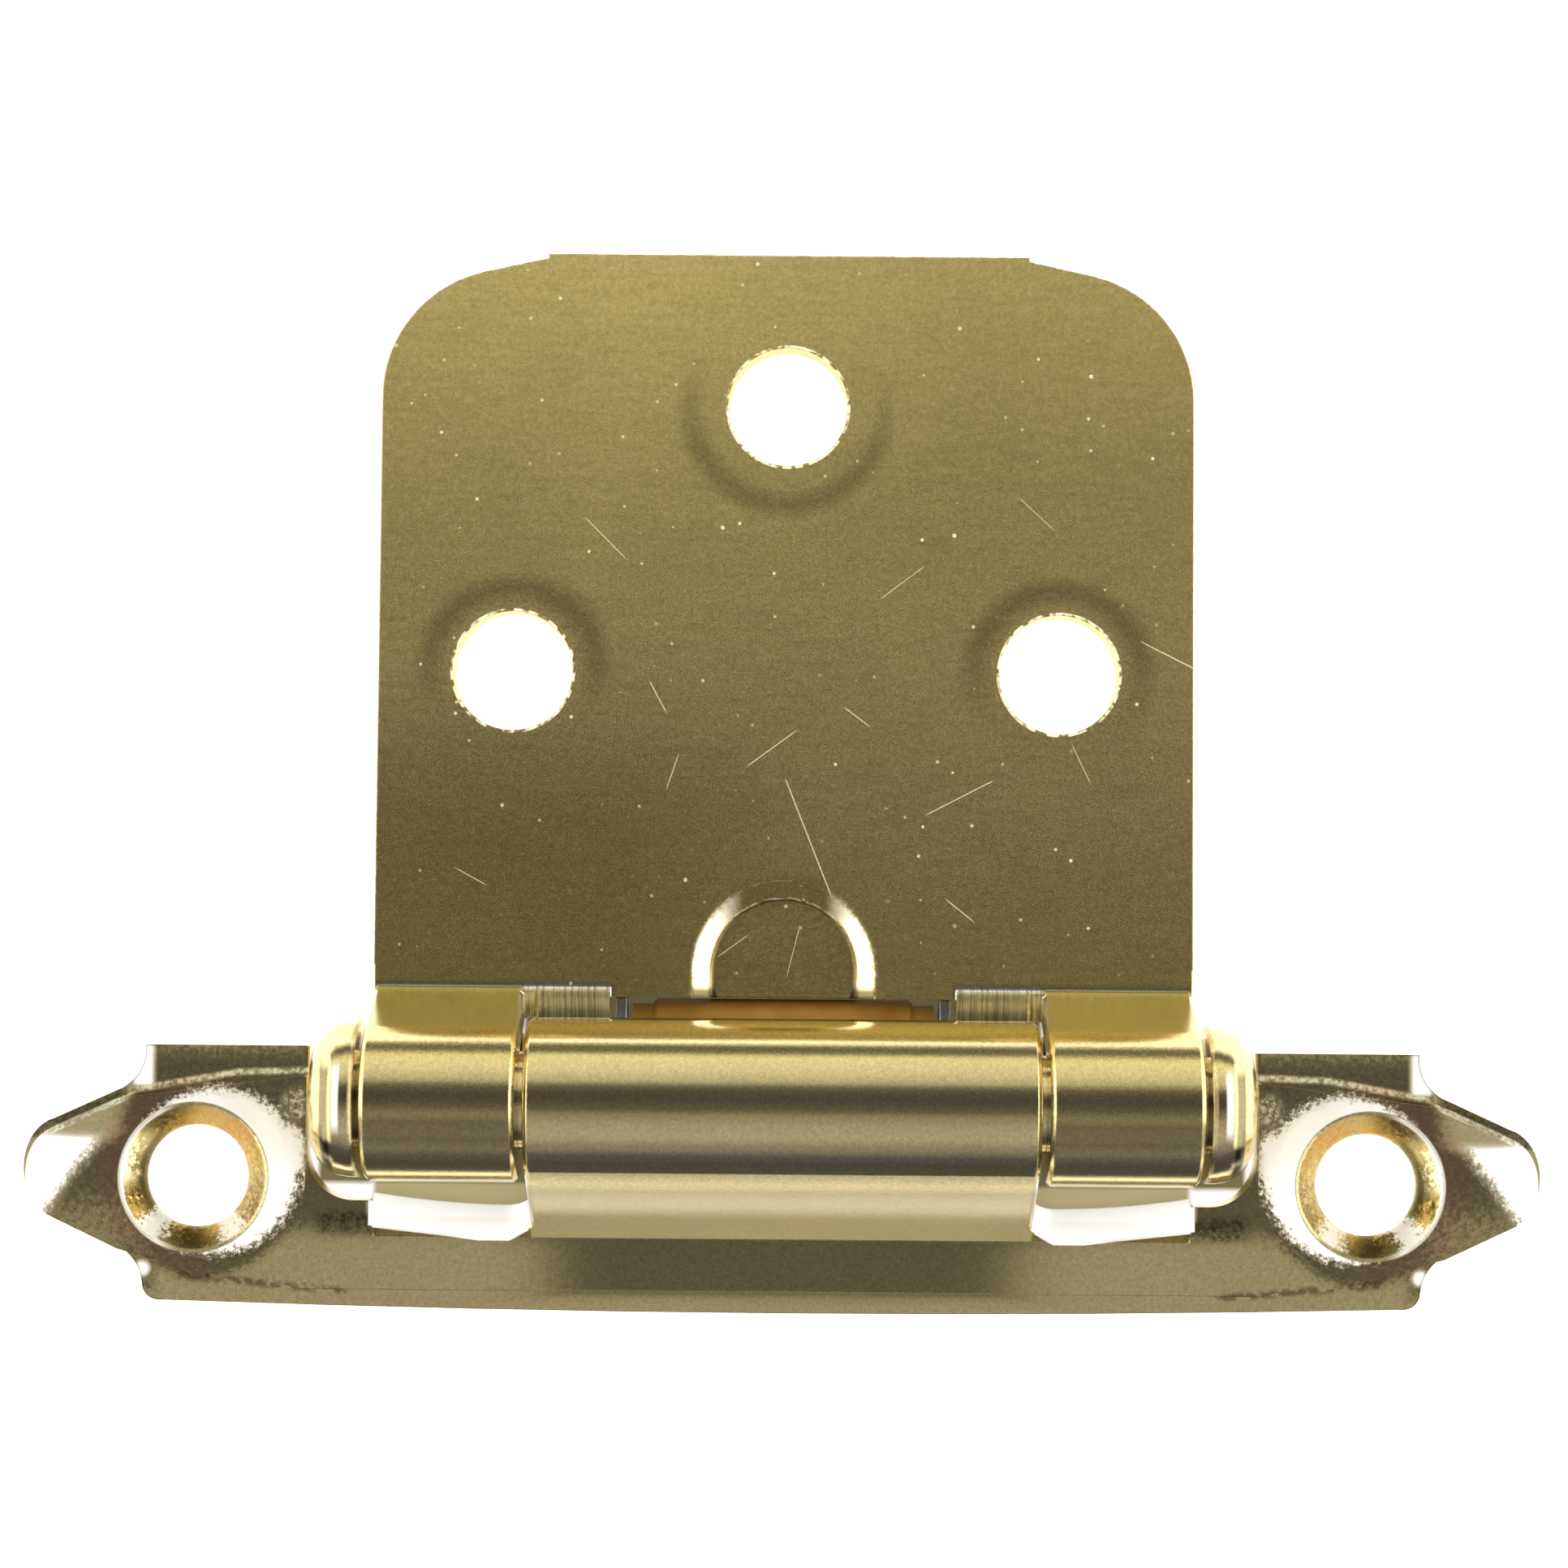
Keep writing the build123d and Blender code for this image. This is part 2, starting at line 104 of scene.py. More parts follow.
# Painted highlight: white for the roll's sides, mound, tip, corners, glints and pin heads.
HIGHLIGHT_WHITE = (1.0, 0.98, 0.92, 1)
NYLON = (0.24, 0.12, 0.018, 1)
NYLON_PALE = (0.30, 0.165, 0.032, 1)
STEEL = (0.56, 0.55, 0.52, 1)
SPRING = (0.50, 0.50, 0.49, 1)

# The normal of a level surface, and how finely edges are rounded
LEVEL = (0.0, 0.0, 1.0, 1.0)
EDGE_SAMPLES = 4

# Door leaf: holes with their bosses and shaded rings, risers, tabs and the pocket with its roll
DOOR_HOLES = [(-12.6, 23.4), (12.6, 23.4), (0.0, 35.75)]
DOOR_BOSS = 5.2
DOOR_RIM = 2.9
RING_RADII = [3.9, 3.9, 4.5]
RING_WAYS = [1, 1, -1]
RING_HALF = 1.2
RING_SHADE = 0.42
RISER_START = 11.9
RISER_LEAN = 0.2
TAB_START = 7.9
POCKET_AT = (0.0, 9.6)
POCKET_WALL = 3.3
POCKET_REACH = 4.7
PLATE_START = 10.0
PLATE_END = 43.0
PLATE_CROWN = 0.15

# Frame leaf: spear ends about the screw holes, ridges and crease as lines of painted highlight and shade,
# knuckle and shoulder.
# The mound's bright side, tilted and painted as a highlight, is two discs: place, radius and where it has
# faded.
FINIAL_START = 21.9
HOLE_X = 27.0
MOON_DISCS = [((26.05, 0.3), 3.45, 4.05), ((23.4, 1.05), 1.1, 1.8)]
CORNER_AT = (29.65, -4.35)
# Where the painted pale highlight beside the barrel lies.
PALE_HIGHLIGHT_AT = (22.4, 3.3)
SINK_EDGE = 3.25
SINK_RIM = 3.43
GLINT_ANGLES = (-50, -126)
GLOOM_ANGLES = (-28, -88)
RIDGE = [(30.45, 3.85, 27.9, 4.3), (27.9, 4.3, 25.4, 4.75), (25.4, 4.75, 21.9, 4.87)]
TIP_X = 33.0
TIP_R = 2.4
TIP_SLOPE = radians(24.5)
TIP_ALONG = (cos(TIP_SLOPE), -sin(TIP_SLOPE), 0)
TIP_ACROSS = (sin(TIP_SLOPE), cos(TIP_SLOPE), 0)
CREASE = (27.9, -4.66, 20.3, -5.3)
KNUCKLE_END = 11.5
SHOULDER_END = 19.1
NECK_FOOT_Y = -2.75

# Pin heads: the dark band of painted reflection and the white line of painted highlight, by their distance
# from the middle
PIN_DARK_REFLECTION = (20.25, 20.55)
PIN_HIGHLIGHT = (19.75, 19.95)

# Scratches on the door leaf: two ends and a half width
SCRATCHES = [
    ((0.1, 18.3, 2.1, 13.3), 0.035), ((-1.6, 19.2, 0.3, 20.6), 0.03), ((6.7, 17.0, 9.4, 18.4), 0.03),
    ((16.6, 24.9, 18.8, 23.8), 0.035), ((-6.2, 22.8, -5.6, 21.7), 0.03), ((-5.4, 18.2, -5.0, 19.4), 0.025),
    ((-9.2, 30.4, -7.6, 28.8), 0.025), ((7.6, 12.9, 8.6, 12.1), 0.03), ((4.5, 27.0, 6.2, 28.3), 0.02),
    ((-2.9, 10.4, -1.8, 11.2), 0.025), ((0.7, 11.6, 0.2, 9.6), 0.02), ((10.9, 31.5, 12.2, 30.3), 0.02),
    ((-15.0, 14.2, -13.9, 13.6), 0.025), ((2.9, 21.7, 3.7, 21.1), 0.03), ((13.3, 20.0, 14.0, 18.6), 0.02),
]
SCRATCH_FADE = 0.3


class Shader:
    """A node tree with short calls for the nodes that the materials share.

    position is in metres, for textures. x, y, z, out (the distance from the middle along the pin),
    plan and mirrored (both on the XY plane) are in millimetres, for masks.
    """

    def __init__(self, name):
        self.material = bpy.data.materials.new(name)
        self.material.use_nodes = True
        self.tree = self.material.node_tree
        self.surface = self.tree.nodes["Principled BSDF"]
        self.position = self.add("ShaderNodeTexCoord").outputs["Object"]
        place = self.vector("MULTIPLY", self.position, (1 / MM, 1 / MM, 1 / MM))
        self.x = self.part(place, "X")
        self.y = self.part(place, "Y")
        self.z = self.part(place, "Z")
        self.out = self.math("ABSOLUTE", self.x)
        self.plan = self.join(self.x, self.y)
        self.mirrored = self.join(self.out, self.y)

    def add(self, kind, **settings):
        node = self.tree.nodes.new(kind)
        for key, value in settings.items():
            setattr(node, key, value)
        return node

    def link(self, source, target):
        self.tree.links.new(source, target)

    def feed(self, socket, value):
        if isinstance(value, bpy.types.NodeSocket):
            self.link(value, socket)
        else:
            socket.default_value = value

    def math(self, operation, *values):
        node = self.add("ShaderNodeMath", operation=operation)
        for socket, value in zip(node.inputs, values):
            self.feed(socket, value)
        return node.outputs[0]

    def plus(self, first, second):
        return self.math("ADD", first, second)

    def share(self, mask, amount):
        return self.math("MULTIPLY", mask, amount)

    def rest(self, mask):
        """What the mask leaves out."""
        return self.math("SUBTRACT", 1.0, mask)

    def gap(self, first, second):
        """How far two values lie apart."""
        return self.math("ABSOLUTE", self.math("SUBTRACT", first, second))

    def vector(self, operation, *values):
        node = self.add("ShaderNodeVectorMath", operation=operation)
        for socket, value in zip(node.inputs, values):
            self.feed(socket, value)
        return node.outputs["Value" if operation in ("DOT_PRODUCT", "LENGTH", "DISTANCE") else "Vector"]

    def part(self, vector, axis):
        split = self.add("ShaderNodeSeparateXYZ")
        self.link(vector, split.inputs[0])
        return split.outputs[axis]

    def join(self, x, y):
        node = self.add("ShaderNodeCombineXYZ")
        self.feed(node.inputs["X"], x)
        self.feed(node.inputs["Y"], y)
        return node.outputs[0]

    def stretch(self, scale):
        """The position scaled by axis, for textures drawn out along one of them."""
        node = self.add("ShaderNodeMapping")
        self.link(self.position, node.inputs["Vector"])
        node.inputs["Scale"].default_value = scale
        return node.outputs["Vector"]

    def noise(self, scale, detail=2.0, rough=0.5, vector=None):
        node = self.add("ShaderNodeTexNoise")
        self.link(vector or self.position, node.inputs["Vector"])
        node.inputs["Scale"].default_value = scale
        node.inputs["Detail"].default_value = detail
        node.inputs["Roughness"].default_value = rough
        return node.outputs["Fac"]

    def band(self, value, low, high, to_low=0.0, to_high=1.0):
        """The value carried from one range to another in a straight line, and held at its ends."""
        node = self.add("ShaderNodeMapRange")
        self.feed(node.inputs["Value"], value)
        node.inputs["From Min"].default_value = low
        node.inputs["From Max"].default_value = high
        node.inputs["To Min"].default_value = to_low
        node.inputs["To Max"].default_value = to_high
        return node.outputs["Result"]

    def ease(self, value, low, high, to_low=0.0, to_high=1.0):
        """The same as band, with a soft start and end."""
        result = self.band(value, low, high, to_low, to_high)
        result.node.interpolation_type = "SMOOTHSTEP"
        return result

    def fade(self, value, low, high):
        """1 up to low, falling softly to 0 at high."""
        return self.ease(value, low, high, 1.0, 0.0)

    def within(self, value, low, high, soft):
        """1 between low and high, falling to 0 over the soft width outside them."""
        rise = self.band(value, low - soft, low)
        fall = self.band(value, high, high + soft, 1.0, 0.0)
        return self.math("MULTIPLY", rise, fall)

    def mix(self, factor, first, second):
        node = self.add("ShaderNodeMix", data_type="RGBA")
        self.feed(node.inputs["Factor"], factor)
        self.feed(node.inputs[6], first)
        self.feed(node.inputs[7], second)
        return node.outputs[2]

    def both(self, *masks):
        total = masks[0]
        for mask in masks[1:]:
            total = self.math("MULTIPLY", total, mask)
        return total

    def either(self, *masks):
        total = masks[0]
        for mask in masks[1:]:
            total = self.math("MAXIMUM", total, mask)
        return total

    def total(self, *pairs):
        """The sum of masks, each with its amount."""
        result = self.share(*pairs[0])
        for pair in pairs[1:]:
            result = self.plus(result, self.share(*pair))
        return result

    def reach(self, place):
        """Distance from a place on the XY plane."""
        return self.vector("DISTANCE", self.plan, (place[0], place[1], 0))

    def reach_out(self, place):
        """The same, from a place that both halves have."""
        return self.vector("DISTANCE", self.mirrored, (place[0], place[1], 0))

    def scratch(self, ends, half_width, mirrored=False):
        """1 on a short straight line on the XY plane, fading at its ends."""
        x0, y0, x1, y1 = ends
        length = hypot(x1 - x0, y1 - y0)
        along = ((x1 - x0) / length, (y1 - y0) / length, 0)
        offset = self.vector("SUBTRACT", self.mirrored if mirrored else self.plan, (x0, y0, 0))
        run = self.vector("DOT_PRODUCT", offset, along)
        side = self.math("ABSOLUTE", self.vector("DOT_PRODUCT", offset, (-along[1], along[0], 0)))
        on_line = self.band(side, half_width * 0.3, half_width, 1.0, 0.0)
        return self.both(on_line, self.within(run, 0, length, SCRATCH_FADE))


def floor_material():
    """White paper, with painted shade in the gaps beneath the barrel, and painted dark in front of the hinge
    for rays mirrored in metal.
    """
    shade = Shader("floor_white")
    shade.surface.inputs["Roughness"].default_value = 0.9
    shade.surface.inputs["Specular IOR Level"].default_value = 0.0
    path = shade.add("ShaderNodeLightPath").outputs
    mirrored = shade.either(path["Is Glossy Ray"], path["Is Transmission Ray"])
    # Painted shade in the gaps beneath the barrel, paler in the wedge under each outer knuckle.
    boxes = []
    for half, low, high in SHADE_BOXES:
        across = shade.band(shade.out, half, half + GAP_EDGE, 1.0, 0.0)
        boxes.append(shade.both(across, shade.within(shade.y, low, high, GAP_EDGE)))
    gap = shade.either(*boxes)
    # Painted dark reflection: in front of the hinge, the floor is dark only for rays mirrored in metal.
    far = shade.both(mirrored, shade.band(shade.y, *FLOOR_DIM))
    wedge = shade.both(shade.within(shade.out, *WEDGE_OUT, GAP_EDGE), shade.within(shade.y, *WEDGE_Y, 0.2))
    dim = shade.mix(wedge, GAP_SHADE, WEDGE_SHADE)
    colour = shade.mix(gap, FLOOR_COLOUR, dim)
    shade.link(shade.mix(far, colour, FLOOR_FAR), shade.surface.inputs["Base Color"])
    lit = shade.rest(shade.either(shade.share(gap, 1 - GAP_GLOW), far))
    glow = shade.total((path["Is Camera Ray"], FLOOR_GLOW), (mirrored, FLOOR_MIRROR_GLOW))
    shade.link(shade.mix(gap, (1, 1, 1, 1), dim), shade.surface.inputs["Emission Color"])
    shade.link(shade.both(glow, lit), shade.surface.inputs["Emission Strength"])
    return shade.material


class Metal(Shader):
    """Plated or drawn metal: fine grain, cloudy gloss and softened edges.

    edge is the radius of its softened edges in metres, flat the mask where the surface is shaded level,
    lean and side its tilt to +Y and outwards.
    """

    def __init__(self, name, colour, roughness, grain):
        super().__init__(name)
        self.surface.inputs["Metallic"].default_value = 1.0
        self.fine = self.noise(13000, 2.0, 0.7)
        clouds = self.band(self.noise(160, 3.0, 0.6), 0.3, 0.7, 0.94, 1.0)
        mottle = self.band(self.noise(5200, 3.0, 0.75), 0.35, 0.65, 0.86, 1.1)
        self.light = self.both(clouds, self.band(self.fine, 0.3, 0.7, 0.86, 1.1), mottle)
        self.colour = self.tint(colour)
        self.roughness = self.band(self.fine, 0.3, 0.7, roughness * 0.85, roughness * 1.15)
        self.edge = 0.1 * MM
        self.grain = grain
        self.lean = None
        self.side = None
        self.flat = None

    def tint(self, colour):
        """A colour with the metal's own clouds and grain."""
        result = self.vector("SCALE", colour[:3])
        self.link(self.light, result.node.inputs["Scale"])
        return result

    def coat(self, mask, colour, amount=1.0):
        """Lay a colour over the metal where the mask is."""
        if amount != 1.0:
            mask = self.share(mask, amount)
        self.colour = self.mix(mask, self.colour, colour)

    def matt(self, mask):
        """Less metal, and so a plain colour, where the mask is."""
        self.link(self.rest(mask), self.surface.inputs["Metallic"])

    def soften(self, radius):
        """The normal with edges rounded by the radius."""
        bevel = self.add("ShaderNodeBevel", samples=EDGE_SAMPLES)
        self.feed(bevel.inputs["Radius"], radius)
        return bevel.outputs["Normal"]

    def facing(self, axis):
        """One part of the true normal."""
        return self.part(self.add("ShaderNodeNewGeometry").outputs["True Normal"], axis)

    def rim(self, radius):
        """1 along the sharp edges of the solid, about as wide as the radius."""
        true = self.add("ShaderNodeNewGeometry").outputs["True Normal"]
        return self.ease(self.vector("DOT_PRODUCT", self.soften(radius), true), 0.96, 0.86)

    def specks(self, scale, size, amount):
        """Small bright pits: one round dot in some of the cells."""
        cells = self.add("ShaderNodeTexVoronoi", feature="F1")
        self.link(self.position, cells.inputs["Vector"])
        cells.inputs["Scale"].default_value = scale
        dot = self.band(cells.outputs["Distance"], size * 0.5, size, 1.0, 0.0)
        pick = self.add("ShaderNodeSeparateColor")
        self.link(cells.outputs["Color"], pick.inputs[0])
        return self.both(dot, self.math("LESS_THAN", pick.outputs[0], amount))

    def finish(self):
        """Join the normal, from softened edges, level places, tilt and grain, with colour and roughness."""
        normal = self.soften(self.edge)
        if self.flat is not None:
            normal = self.mix(self.flat, normal, LEVEL)
        if self.lean is not None:
            outwards = 0.0 if self.side is None else self.both(self.side, self.math("SIGN", self.x))
            normal = self.vector("NORMALIZE", self.vector("ADD", normal, self.join(outwards, self.lean)))
        bump = self.add("ShaderNodeBump")
        bump.inputs["Strength"].default_value = self.grain
        bump.inputs["Distance"].default_value = 0.01 * MM
        self.link(self.fine, bump.inputs["Height"])
        self.link(normal, bump.inputs["Normal"])
        self.link(bump.outputs["Normal"], self.surface.inputs["Normal"])
        self.link(self.colour, self.surface.inputs["Base Color"])
        self.feed(self.surface.inputs["Roughness"], self.roughness)
        return self.material


class DoorLeaf(Metal):
    """Satin plate, glossy knuckles, striped sheared tabs, specks and scratches, with painted highlights and
    painted shade.
    """

    def __init__(self):
        super().__init__("brass_plate", PLATE, 0.34, 0.35)
        between = self.both(self.band(self.y, 8.0, 8.2), self.math("LESS_THAN", self.out, 7.8))
        self.plate = self.either(self.band(self.y, 8.8, 9.2), between)
        self.from_holes = [self.reach(place) for place in DOOR_HOLES]
        self.from_pocket = self.reach(POCKET_AT)
        self.frayed = self.plus(self.from_pocket, self.band(self.noise(3600, 4.0, 0.8), 0.3, 0.7, -0.3, 0.3))
        self.roll_top = self.both(self.fade(self.out, 1.7, 2.7), self.band(self.y, POCKET_AT[1], 11),
                                  self.within(self.from_pocket, POCKET_WALL, 4.8, 0.1))
        self.riser = self.both(self.band(self.out, RISER_START, 12.1), self.within(self.y, 7.15, 8.9, 0.15))

    def forms(self):
        """Bosses and the top of the roll shaded level, a soft roll, a slight crown and the risers' lean."""
        boss = self.either(*[self.within(each, DOOR_RIM, DOOR_BOSS, 0.01) for each in self.from_holes])
        upward = self.math("GREATER_THAN", self.facing("Z"), 0.3)
        self.flat = self.both(self.either(boss, self.roll_top), upward)
        self.edge = self.band(self.from_pocket, POCKET_REACH, POCKET_REACH + 0.3, 0.3 * MM, 0.1 * MM)
        crown = self.band(self.y, PLATE_START, PLATE_END, 0.0, PLATE_CROWN)
        self.lean = self.plus(crown, self.share(self.riser, RISER_LEAN))

    def rings(self):
        """A soft shade round each hole, deepest on one side."""
        rings = []
        for each, place, radius, way in zip(self.from_holes, DOOR_HOLES, RING_RADII, RING_WAYS):
            height = self.math("SUBTRACT", self.y, place[1])
            depth = self.band(height, -3 * way, 2 * way, 0.15, 1.0)
            rings.append(self.both(self.fade(self.gap(each, radius), 0.0, RING_HALF), depth))
        return self.either(*rings)

    def tone(self):
        """Darker knuckle brass, stains, the plate darker to top right and lower left, and painted shade at
        its foot, rings, roll and knuckles.
        """
        self.roughness = self.both(self.roughness, self.band(self.plate, 0.0, 1.0, 0.45, 1.0))
        self.coat(self.rest(self.plate), self.tint(BRASS), 0.8)
        # Painted shade on the sloped risers.
        self.coat(self.riser, RISER_SHADE)
        # Painted shade: the plate darker towards the barrel, in the roll, at the pocket's wall and beside the
        # knuckles.
        foot = self.both(self.band(self.y, PLATE_START, 24, 0.30, 0.0), self.plate)
        stain = self.both(self.band(self.noise(75, 2.0), 0.4, 0.62, 0.0, 0.1), self.plate)
        # Darker towards the top right and towards the lower left.
        high = self.both(self.ease(self.y, 22, 34), self.ease(self.x, -16, 13, 0.0, 0.2))
        low = self.both(self.ease(self.y, 26, 15), self.ease(self.x, 9, -9, 0.0, 0.40), self.plate)
        knuckle = self.both(self.within(self.y, 2.1, 2.9, 0.6), self.band(self.out, 11.7, RISER_START))
        hollow = self.both(self.roll_top, self.ease(self.frayed, 4.9, 4.4))
        wall = self.both(self.within(self.from_pocket, POCKET_WALL, 3.38, 0.05), self.band(self.y, 9, 10))
        shade_and_stain = self.either(foot, stain, high, low, self.share(hollow, 0.35), self.share(wall, 0.6),
                           self.share(self.rings(), RING_SHADE), self.share(knuckle, 0.6))
        self.coat(shade_and_stain, BLACK)

    def wear(self):
        """Flecks and streaks, then bright scratches and pits, and painted highlights along hole rims and the
        plate's edge, which are also rougher.
        """
        self.coat(self.both(self.band(self.noise(2900, 4.0, 0.85), 0.58, 0.68), self.plate), FLECK, 0.35)
        drawn = self.noise(1, 3.0, 0.7, self.stretch((500, 3200, 500)))
        self.coat(self.both(self.band(drawn, 0.45, 0.7), self.plate), STREAK, 0.15)
        scratches = self.either(*[self.scratch(ends, width) for ends, width in SCRATCHES])
        pits = self.either(self.specks(1300, 0.13, 0.30), self.specks(650, 0.08, 0.25))
        worn = self.both(pits, self.band(self.noise(420, 2.0), 0.34, 0.62, 0.0, 0.85))
        marks = self.both(self.either(self.share(scratches, 0.7), worn), self.plate)
        # Painted highlight: broken bright lines round the holes and along the plate's edge by the barrel.
        rim_highlights = [self.within(each, 2.78, 2.86, 0.04) for each in self.from_holes]
        outline = self.both(self.rim(0.12 * MM), self.band(self.y, PLATE_START, 10.5))
        highlight_breaks = self.band(self.noise(2600, 1.0), 0.42, 0.55)
        marks = self.either(marks, self.both(self.either(outline, *rim_highlights), highlight_breaks))
        self.coat(marks, MARK_AND_HIGHLIGHT, 0.8)
        self.matt(self.share(marks, 0.5))
        self.roughness = self.plus(self.roughness, self.share(marks, 0.3))

    def roll(self):
        """The pocket's roll: a painted white highlight on both sides, and painted shade where it ends above
        the knuckle.
        """
        # Painted highlight on the roll's sides.
        sides = self.both(self.band(self.from_pocket, 3.4, 3.45), self.fade(self.frayed, 4.0, 4.3),
                          self.band(self.out, 1.9, 3.0), self.ease(self.y, 8.6, 9.3))
        self.coat(sides, HIGHLIGHT_WHITE, 0.9)
        # Painted shade on the roll's end above the knuckle.
        front = self.both(self.within(self.from_pocket, POCKET_WALL, 4.3, 0.05), self.band(self.y, 9.0, 8.7))
        self.coat(front, PAINTED_DARK)

    def tabs(self):
        """Fine stripes on the sheared tabs, which are painted white as a highlight."""
        tab = self.both(self.within(self.out, TAB_START, RISER_START, 0.05),
                        self.within(self.y, 7.3, 8.9, 0.1), self.band(self.z, 0.9, 1.0))
        stripes = self.band(self.noise(1, 2.0, 0.6, self.stretch((9000, 250, 250))), 0.4, 0.6, 0.5, 1.25)
        # Painted highlight: the tabs white between darker stripes.
        self.coat(tab, self.mix(stripes, SHEARED_DARK, SHEARED_HIGHLIGHT))


class FrameLeaf(Metal):
    """Polished stamping with sheared edges painted bright as highlights, and softly blended ends.

    u and r are the distance outwards and from the middle of the screw hole. rag frays the masks' edges.
    """

    def __init__(self):
        super().__init__("brass_polished", BRASS, 0.15, 0.14)
        self.finial = self.band(self.out, FINIAL_START, FINIAL_START + 0.4)
        self.edge = self.band(self.finial, 0.0, 1.0, 0.1 * MM, 0.35 * MM)
        self.u = self.math("SUBTRACT", self.out, HOLE_X)
        self.r = self.reach_out((HOLE_X, 0))
        self.rag = self.band(self.noise(3600, 4.0, 0.8), 0.3, 0.7, -0.35, 0.35)
        self.moon = self.mound()
        self.tip = self.spear_tip()
        self.span = self.tip_span()
        self.outline_shade = self.outline()
        self.inside = self.rest(self.outline_shade)
        self.around = self.both(self.finial, self.rest(self.either(self.moon, self.tip)))

    def mound(self):
        """The bright side of the mound, towards the barrel, where it is tilted and painted as a highlight."""
        discs = [self.fade(self.plus(self.reach_out(place), self.rag), radius, faded)
                 for place, radius, faded in MOON_DISCS]
        return self.both(self.either(*discs), self.ease(self.r, 3.4, 3.5), self.finial)

    def spear_tip(self):
        # The spear's bright tip, where it is tilted and painted as a highlight.
        line = self.plus(self.plus(self.u, self.rag), self.share(self.y, 0.79))
        return self.both(self.ease(line, 5.1, 6.5), self.fade(self.y, 1.5, 2.2), self.finial)

    def tip_span(self):
        """Distance from the spear's middle, across its straight sides and round its tip."""
        from_tip = self.vector("SUBTRACT", self.vector("ABSOLUTE", self.mirrored), (TIP_X, 0, 0))
        past = self.math("GREATER_THAN", self.vector("DOT_PRODUCT", from_tip, TIP_ALONG), 0.0)
        return self.either(self.vector("DOT_PRODUCT", from_tip, TIP_ACROSS),
                           self.both(self.vector("LENGTH", from_tip), past))

    def outline(self):
        """The thin dark line of painted shade round the spear."""
        line = self.both(self.ease(self.span, TIP_R - 0.15, TIP_R - 0.07), self.ease(self.u, 3.0, 3.6))
        return self.either(line, self.both(self.rim(0.2 * MM), self.within(self.u, 1.9, 3.4, 0.4)))

    def forms(self):
        """The ends shaded level about the countersinks, then tilted where mound, tip and panels are."""
        upward = self.math("GREATER_THAN", self.facing("Z"), 0.45)
        self.flat = self.both(self.finial, upward, self.math("GREATER_THAN", self.r, SINK_RIM))
        ragged = self.both(self.around, self.rag)
        self.side = self.total((self.moon, -0.42), (self.tip, 0.30), (ragged, 0.25))
        under = self.both(self.around, self.ease(self.u, 0.5, 4.5), self.ease(self.y, 0.5, -2.5))
        low_panel = self.both(self.ease(self.out, 7, 15), self.ease(self.y, -1.4, -3.6),
                              self.ease(self.r, 4.3, 5.2), self.fade(self.u, 1.5, 2.5))
        low = self.either(low_panel, self.ease(self.y, -4.9, -6.0))
        strip = self.both(self.finial, self.ease(self.y, 4.9, 6.2))
        crest = self.both(self.around, self.ease(self.u, 2.5, 5.0), self.ease(self.y, 1.2, 2.2))
        shoulder = self.both(self.within(self.out, 12, 19, 0.3), self.within(self.y, -1.7, 0.2, 0.2))
        self.lean = self.total((low, -0.17), (strip, -0.12), (shoulder, -0.45), (under, -0.1),
                               (crest, -0.4), (ragged, 0.2))

    def spear(self):
        """Painted highlights on ridges, mound, tip and corners, a painted warm sheen round the hole and the
        painted shade of the outline.
        """
        highlight_breaks = self.band(self.noise(4200, 2.0), 0.35, 0.6, 0.3, 1.0)
        self.fringe = self.both(self.ease(self.span, TIP_R - 0.44, TIP_R - 0.34), self.ease(self.u, 3.0, 3.6),
                                self.ease(self.y, 1.0, 1.6), highlight_breaks)
        lines = self.either(*[self.scratch(ends, 0.22, True) for ends in RIDGE])
        self.ridge = self.either(self.both(lines, highlight_breaks), self.fringe)
        # Painted highlight on the ridges and the tip's fringe.
        self.coat(self.ridge, GOLD_HIGHLIGHT)
        # Painted warm sheen round the hole.
        warm_sheen = self.both(self.ease(self.r, 3.4, 3.5), self.fade(self.r, 3.9, 5.0),
                          self.ease(self.u, -1.5, 1.0), self.around)
        self.coat(warm_sheen, WARM_SHEEN, 0.65)
        notch = self.both(self.ease(self.u, 2.05, 2.5), self.ease(self.y, 3.9, 4.3), self.finial)
        corner = self.both(self.fade(self.reach_out(CORNER_AT), 0.15, 0.55), self.finial)
        sink_line = self.both(self.within(self.r, 3.3, 3.4, 0.1), self.ease(self.u, 0.5, 1.8), self.finial)
        # Painted highlight on notch, corner, mound, tip and the countersink's edge.
        bright = self.both(self.either(notch, corner, self.moon, self.tip), self.inside)
        self.bright = self.either(bright, self.share(sink_line, 0.8))
        self.coat(self.bright, HIGHLIGHT_WHITE)
        # Painted shade: the dark outline.
        self.coat(self.outline_shade, PAINTED_DARK)

    def countersink(self):
        """Painted dark and white reflections on the cone, and a painted pale highlight beside the barrel."""
        turn = self.plus(self.math("ARCTAN2", self.y, self.u), self.share(self.rag, 0.5))
        cone = self.both(self.within(self.r, 2.2, SINK_EDGE, 0.06), self.finial)
        glints = [self.fade(self.gap(turn, radians(angle)), 0.12, 0.3) for angle in GLINT_ANGLES]
        glooms = [self.fade(self.gap(turn, radians(angle)), 0.1, 0.3) for angle in GLOOM_ANGLES]
        inner = self.both(self.fade(self.r, 2.55, 2.75), self.fade(self.math("ABSOLUTE", turn), 0.7, 1.1))
        self.coat(self.both(cone, self.either(*glooms, inner)), PAINTED_DARK, 0.75)
        self.glint = self.both(cone, self.either(*glints))
        self.coat(self.glint, HIGHLIGHT_WHITE, 0.8)
        # Painted highlight: a pale gold spot beside the barrel.
        pale_highlight = self.both(self.fade(self.reach_out(PALE_HIGHLIGHT_AT), 0.4, 1.1), self.finial)
        self.pale_highlight = self.both(pale_highlight, self.ease(self.rag, -0.2, 0.25))
        self.coat(self.pale_highlight, GOLD_HIGHLIGHT)

